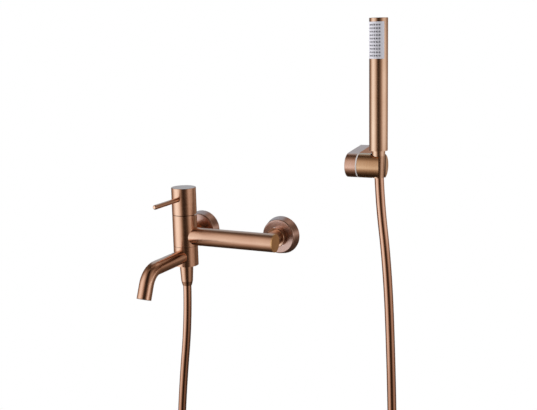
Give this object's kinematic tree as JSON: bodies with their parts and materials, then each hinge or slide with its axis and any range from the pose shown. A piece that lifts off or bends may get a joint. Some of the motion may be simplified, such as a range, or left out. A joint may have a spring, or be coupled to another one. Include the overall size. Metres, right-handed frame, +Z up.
{
  "type": "bath shower mixer",
  "caption": "Wall-mounted bath and shower mixer with a pin lever, swivelling spout, stick handset on a smooth hose and swivelling handset holder.",
  "frame": {"origin": "centre of the left inlet on the finished wall", "axes": "+X along the wall to the right, +Y into the wall, +Z up"},
  "size_m": [0.3994, 0.2289, 0.9458],
  "materials": {
    "copper_brushed": "brushed",
    "copper_plug": "brushed",
    "hose_sleeve": "satin metallic",
    "bare_brass": "machined",
    "bare_steel": "machined",
    "dark_rubber": "matt",
    "soft_white": "matt",
    "white_plastic": "matt",
    "grey_plastic": "matt",
    "dark_plastic": "matt",
    "ceramic": "polished"
  },
  "bodies": {
    "fixed": {"mixer_body": "copper_brushed", "bar_end_plug": "copper_plug", "bar_plug_seal": "dark_rubber", "union_left": "bare_brass", "union_right": "bare_brass", "coupling_nut_left": "copper_brushed", "coupling_nut_right": "copper_brushed", "union_gaskets": "dark_rubber", "escutcheon_left": "copper_brushed", "escutcheon_right": "copper_brushed", "check_valve_bodies": "white_plastic", "check_valve_poppets": "grey_plastic", "cartridge_housing": "grey_plastic", "cartridge_base": "grey_plastic", "port_seal": "dark_rubber", "fixed_ceramic_disc": "ceramic", "retaining_nut": "bare_brass", "dome_cover": "copper_brushed", "outlet_core": "bare_brass", "core_seal_rings": "dark_rubber", "slip_ring": "white_plastic", "hose_nut": "copper_brushed", "hose_washer": "dark_rubber", "hose": "hose_sleeve", "mount_plate": "bare_brass", "wall_screws": "bare_steel", "holder_arm": "copper_brushed", "arm_grub_screw": "bare_steel", "arm_cap": "copper_brushed", "pivot_bush": "white_plastic", "pivot_spring_washer": "bare_steel", "friction_washer": "white_plastic"},
    "turret": {"stem_carrier": "grey_plastic", "pivot_pin": "bare_steel"},
    "disc": {"moving_ceramic_disc": "ceramic", "disc_driver": "white_plastic"},
    "handle": {"valve_stem": "bare_steel", "handle_cap": "copper_brushed", "lever_pin": "copper_brushed", "handle_grub_screw": "bare_steel", "screw_plug": "copper_brushed"},
    "spout": {"spout_ring": "copper_brushed", "spout_tube": "copper_brushed", "diverter_sleeve": "grey_plastic", "aerator_shell": "grey_plastic", "aerator_grid": "grey_plastic"},
    "fork": {"fork_head": "copper_brushed", "fork_liner": "dark_plastic", "pivot_screw": "bare_brass"},
    "handset": {"handset_cone": "copper_brushed", "handset_tube": "copper_brushed", "handset_top_cap": "copper_brushed", "spray_face": "white_plastic", "spray_membrane": "soft_white", "spray_manifold": "grey_plastic", "upper_hose_nut": "bare_brass", "tail_washer": "dark_rubber", "inlet_tail": "bare_brass", "inner_tube": "white_plastic"}
  },
  "joints": [
    {"name": "handle_turn", "type": "hinge", "parent": "fixed", "child": "turret", "pos_m": [0, -0.0615, 0.04], "axis": [0, 0, 1], "range_deg": [-45, 45]},
    {"name": "handle_lift", "type": "hinge", "parent": "turret", "child": "handle", "pos_m": [0, -0.0615, 0.04], "axis": [-1, 0, 0], "range_deg": [0, 18]},
    {"name": "disc_slide", "type": "slide", "parent": "turret", "child": "disc", "axis": [0, -1, 0], "range_m": [0, 0.0038]},
    {"name": "spout_swivel", "type": "hinge", "parent": "fixed", "child": "spout", "pos_m": [0, -0.0615, -0.034], "axis": [0, 0, 1], "range_deg": [-60, 60]},
    {"name": "holder_swivel", "type": "hinge", "parent": "fixed", "child": "fork", "pos_m": [0.3267, -0.0557, 0.131], "axis": [1, 0, 0], "range_deg": [-10, 30], "deforming": ["hose"]},
    {"name": "handset_lift", "type": "slide", "parent": "fork", "child": "handset", "axis": [0, 0, 1], "range_m": [0, 0.04]}
  ],
  "couplings": [
    {"joint": "disc_slide", "follows": "handle_lift", "m_per_rad": 0.0115}
  ]
}
